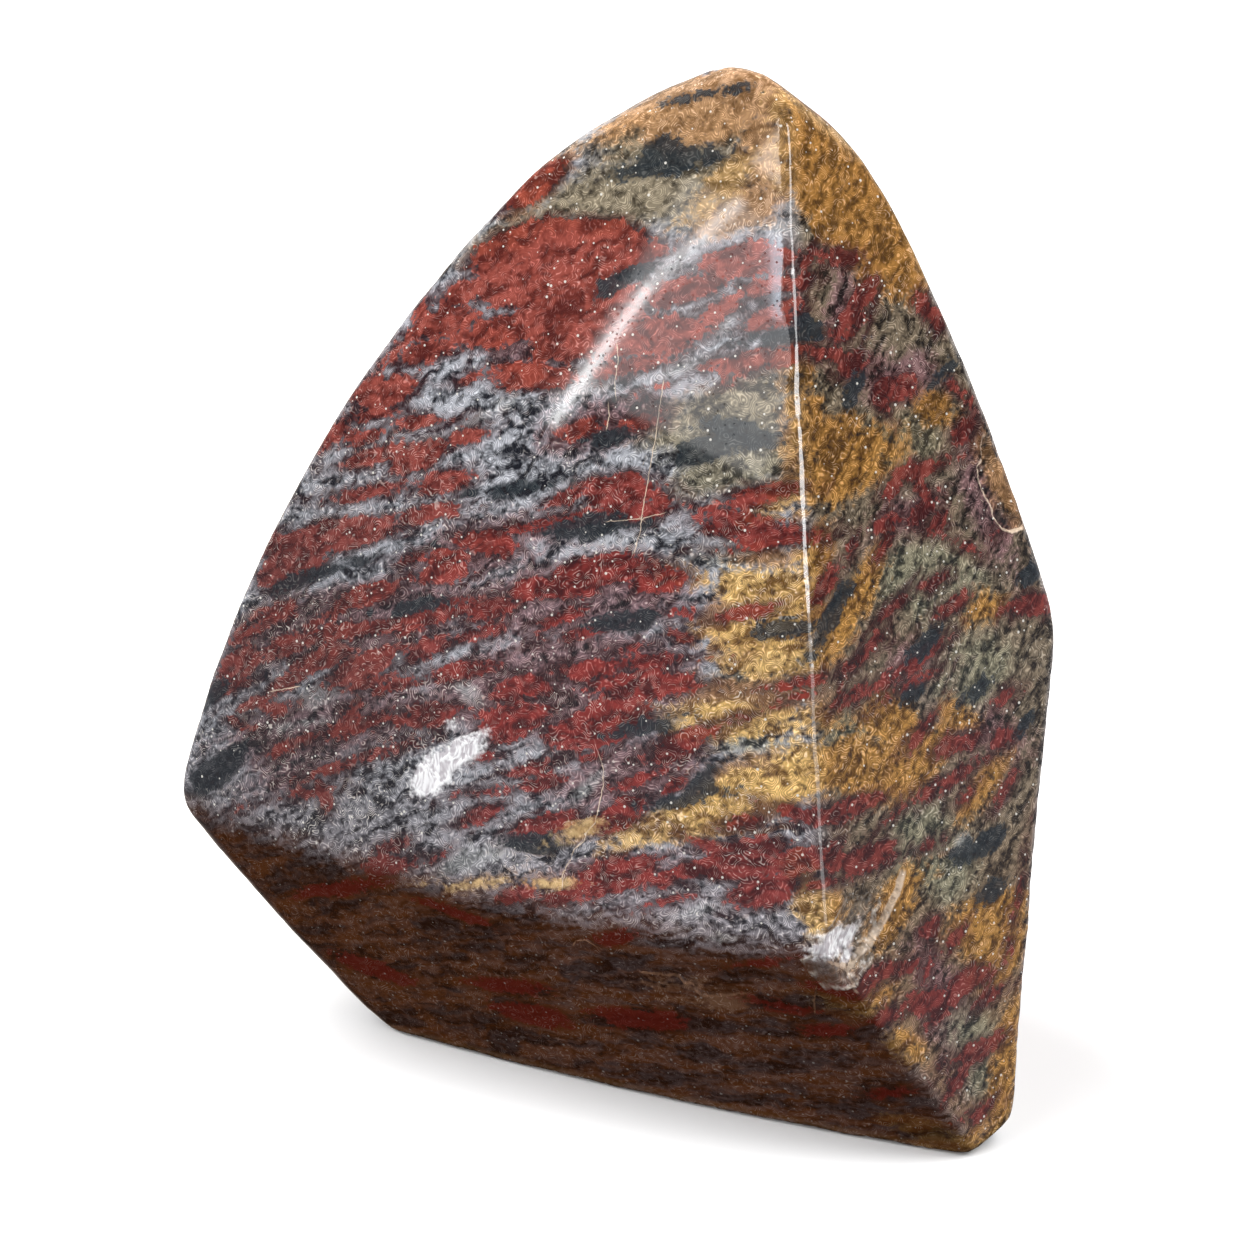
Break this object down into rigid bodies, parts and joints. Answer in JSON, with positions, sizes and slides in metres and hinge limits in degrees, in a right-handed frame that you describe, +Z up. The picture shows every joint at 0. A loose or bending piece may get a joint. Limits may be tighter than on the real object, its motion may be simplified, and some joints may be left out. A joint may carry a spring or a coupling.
{
  "type": "red jasper freeform",
  "caption": "Polished red jasper freeform: a hand-ground stone that rises from a flat base to a rounded peak, for display on a shelf or desk.",
  "frame": {"origin": "middle of the stone's box, on the flat base it rests on", "axes": "+Z up along the stone's longest extent, -Y towards the ridge between its two front faces, +X to the right of that"},
  "size_m": [0.1008, 0.0658, 0.1163],
  "materials": {
    "jasper": "polished brecciated red jasper, gloss, with shallow unpolished chips"
  },
  "bodies": {
    "root": {"stone": "jasper"}
  },
  "joints": []
}
